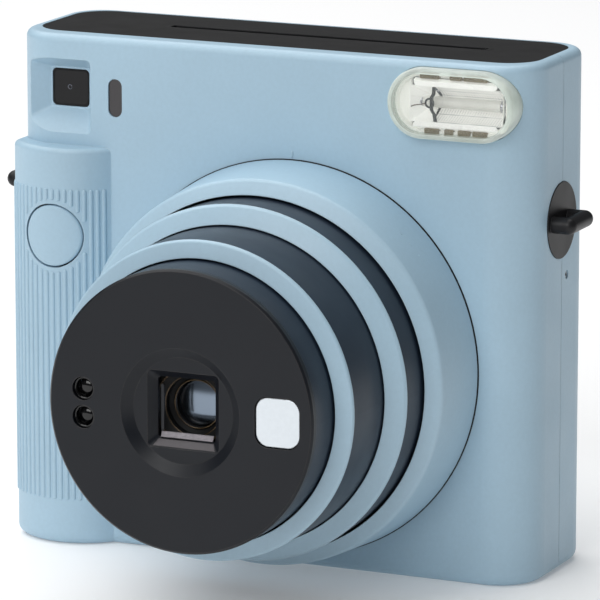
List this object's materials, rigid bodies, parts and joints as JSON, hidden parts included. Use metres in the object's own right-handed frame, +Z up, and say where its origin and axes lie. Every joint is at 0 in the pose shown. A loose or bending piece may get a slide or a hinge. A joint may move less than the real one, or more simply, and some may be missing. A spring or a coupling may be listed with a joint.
{
  "type": "instant camera",
  "caption": "Square-format instant film camera standing on its base, with collapsible lens, dial, grip, shutter button, flash, film door and film eject rollers.",
  "frame": {"origin": "middle of the flat base", "axes": "+Z up, -Y out of the lens (front), +X to the right of somebody facing the front"},
  "size_m": [0.1421, 0.0974, 0.1186],
  "materials": {
    "body_blue": "fine moulded texture, satin",
    "dial_blue": "fine moulded texture, satin",
    "ring_blue": "satin",
    "barrel_navy": "satin",
    "plate_black": "fine matt",
    "panel_black": "fine matt texture",
    "lug_black": "satin",
    "inner_black": "matt",
    "dark_window": "dark tinted",
    "finder_glass": "clear moulded window",
    "lens_glass": "coated lens",
    "flash_clear": "clear moulded cover with fine upright lines",
    "tube_glass": "clear quartz",
    "reflector": "bright silvered",
    "mirror": "polished",
    "steel": "plated",
    "blade_steel": "matt black",
    "motor_steel": "plated",
    "brass": "machined",
    "gear_white": "natural acetal",
    "capacitor_sleeve": "shrink sleeve",
    "foam": "soft foam",
    "cell_wrap": "printed wrap",
    "board_green": "solder mask",
    "counter_white": "plain"
  },
  "bodies": {
    "camera_body": {"front_shell": "body_blue", "rear_shell": "body_blue", "top_panel": "panel_black", "housing_screws": "steel", "strap_lug_right": "lug_black", "strap_lug_left": "lug_black", "lens_mount": "inner_black", "shutter_switch": "inner_black", "finder_window": "finder_glass", "finder_tunnel": "inner_black", "eyepiece_lens": "finder_glass", "exposure_window": "dark_window", "flash_cover": "flash_clear", "flash_reflector": "reflector", "flash_tube": "tube_glass", "flash_tube_caps": "steel", "flash_capacitor": "capacitor_sleeve", "eject_motor": "motor_steel", "roller_frame": "motor_steel", "film_chamber": "inner_black", "door_hinge_pin": "steel", "battery_holder": "inner_black", "battery_cells": "cell_wrap", "battery_contacts": "steel", "main_board": "board_green", "counter_window": "finder_glass"},
    "button": {"shutter_button": "body_blue"},
    "dial": {"lens_dial": "dial_blue", "dial_retainer": "steel"},
    "outer_tube": {"outer_barrel": "barrel_navy", "outer_trim_ring": "ring_blue"},
    "middle_tube": {"middle_barrel": "barrel_navy", "middle_trim_ring": "ring_blue"},
    "lens_block": {"inner_barrel": "barrel_navy", "front_plate": "plate_black", "selfie_mirror": "mirror", "sensor_windows": "dark_window", "lens_cell": "inner_black", "front_lens": "lens_glass", "rear_lens": "lens_glass", "shutter_plate": "inner_black"},
    "cover_left": {"cover_blade_left": "inner_black"},
    "cover_right": {"cover_blade_right": "inner_black"},
    "blade_left": {"shutter_blade_left": "blade_steel"},
    "blade_right": {"shutter_blade_right": "blade_steel"},
    "front_roller_set": {"front_roller": "steel", "roller_drive_gear": "gear_white", "front_sync_gear": "gear_white"},
    "rear_roller_set": {"rear_roller": "steel", "rear_sync_gear": "gear_white"},
    "idler": {"reduction_gear": "gear_white"},
    "pinion": {"motor_pinion": "brass"},
    "claw": {"film_claw": "steel"},
    "door": {"film_door": "body_blue", "pack_window": "finder_glass", "light_seal": "foam", "pressure_springs": "steel"},
    "latch": {"door_latch": "lug_black"},
    "battery_lid": {"battery_door": "body_blue"},
    "counter": {"counter_disc": "counter_white"}
  },
  "joints": [
    {"name": "button_press", "type": "slide", "parent": "camera_body", "child": "button", "axis": [0, 1, 0], "range_m": [0, 0.0015], "stiffness_N_per_m": 300, "springref_m": -0.001},
    {"name": "dial_turn", "type": "hinge", "parent": "camera_body", "child": "dial", "pos_m": [0.00673, -0.01905, 0.04856], "axis": [0, -1, 0], "range_deg": [-90, 11.3]},
    {"name": "outer_tube_run", "type": "slide", "parent": "camera_body", "child": "outer_tube", "axis": [0, -1, 0], "range_m": [-0.0118, 0.0016]},
    {"name": "middle_tube_run", "type": "slide", "parent": "outer_tube", "child": "middle_tube", "axis": [0, -1, 0], "range_m": [-0.0173, 0.0023]},
    {"name": "lens_block_run", "type": "slide", "parent": "middle_tube", "child": "lens_block", "axis": [0, -1, 0], "range_m": [-0.0109, 0.0015]},
    {"name": "cover_left_run", "type": "slide", "parent": "lens_block", "child": "cover_left", "axis": [1, 0, 0], "range_m": [-0.001, 0.0074]},
    {"name": "cover_right_run", "type": "slide", "parent": "lens_block", "child": "cover_right", "axis": [-1, 0, 0], "range_m": [-0.001, 0.0074]},
    {"name": "blade_left_swing", "type": "hinge", "parent": "lens_block", "child": "blade_left", "pos_m": [-0.00227, -0.0626, 0.03956], "axis": [0, -1, 0], "range_deg": [0, 40], "stiffness_Nm_per_rad": 0.0005, "springref_deg": -11.46},
    {"name": "blade_right_swing", "type": "hinge", "parent": "lens_block", "child": "blade_right", "pos_m": [0.01573, -0.062, 0.03956], "axis": [0, -1, 0], "range_deg": [-40, 0], "stiffness_Nm_per_rad": 0.0005, "springref_deg": 11.46},
    {"name": "roller_turn", "type": "hinge", "parent": "camera_body", "child": "front_roller_set", "pos_m": [0, -0.00115, 0.106], "axis": [1, 0, 0], "continuous": true},
    {"name": "rear_roller_turn", "type": "hinge", "parent": "camera_body", "child": "rear_roller_set", "pos_m": [0, 0.00605, 0.106], "axis": [1, 0, 0], "continuous": true},
    {"name": "reduction_turn", "type": "hinge", "parent": "camera_body", "child": "idler", "pos_m": [-0.0388, 0.00285, 0.0903], "axis": [1, 0, 0], "continuous": true},
    {"name": "pinion_turn", "type": "hinge", "parent": "camera_body", "child": "pinion", "pos_m": [-0.0388, 0.00285, 0.0783], "axis": [1, 0, 0], "continuous": true},
    {"name": "claw_lift", "type": "slide", "parent": "camera_body", "child": "claw", "axis": [0, 0, 1], "range_m": [0, 0.01]},
    {"name": "film_door_swing", "type": "hinge", "parent": "camera_body", "child": "door", "pos_m": [0.0526, 0.01735, 0.054], "axis": [0, 0, -1], "range_deg": [0, 105]},
    {"name": "latch_press", "type": "slide", "parent": "door", "child": "latch", "axis": [0, 0, -1], "range_m": [0, 0.008], "stiffness_N_per_m": 60, "springref_m": -0.003},
    {"name": "battery_door_swing", "type": "hinge", "parent": "camera_body", "child": "battery_lid", "pos_m": [-0.06305, 0.00415, 0.035], "axis": [0, 0, -1], "range_deg": [0, 95]},
    {"name": "counter_turn", "type": "hinge", "parent": "camera_body", "child": "counter", "pos_m": [0.034, 0.01595, 0.108], "axis": [0, 1, 0], "range_deg": [0, 300]}
  ],
  "couplings": [
    {"joint": "outer_tube_run", "follows": "dial_turn", "m_per_rad": 0.0074357},
    {"joint": "middle_tube_run", "follows": "dial_turn", "m_per_rad": 0.010912},
    {"joint": "lens_block_run", "follows": "dial_turn", "m_per_rad": 0.0068755},
    {"joint": "cover_left_run", "follows": "dial_turn", "m_per_rad": -0.0046473},
    {"joint": "cover_right_run", "follows": "dial_turn", "m_per_rad": -0.0046473},
    {"joint": "blade_right_swing", "follows": "blade_left_swing", "ratio": -1},
    {"joint": "rear_roller_turn", "follows": "roller_turn", "ratio": -1},
    {"joint": "reduction_turn", "follows": "roller_turn", "ratio": -0.8},
    {"joint": "pinion_turn", "follows": "roller_turn", "ratio": 2.4}
  ]
}
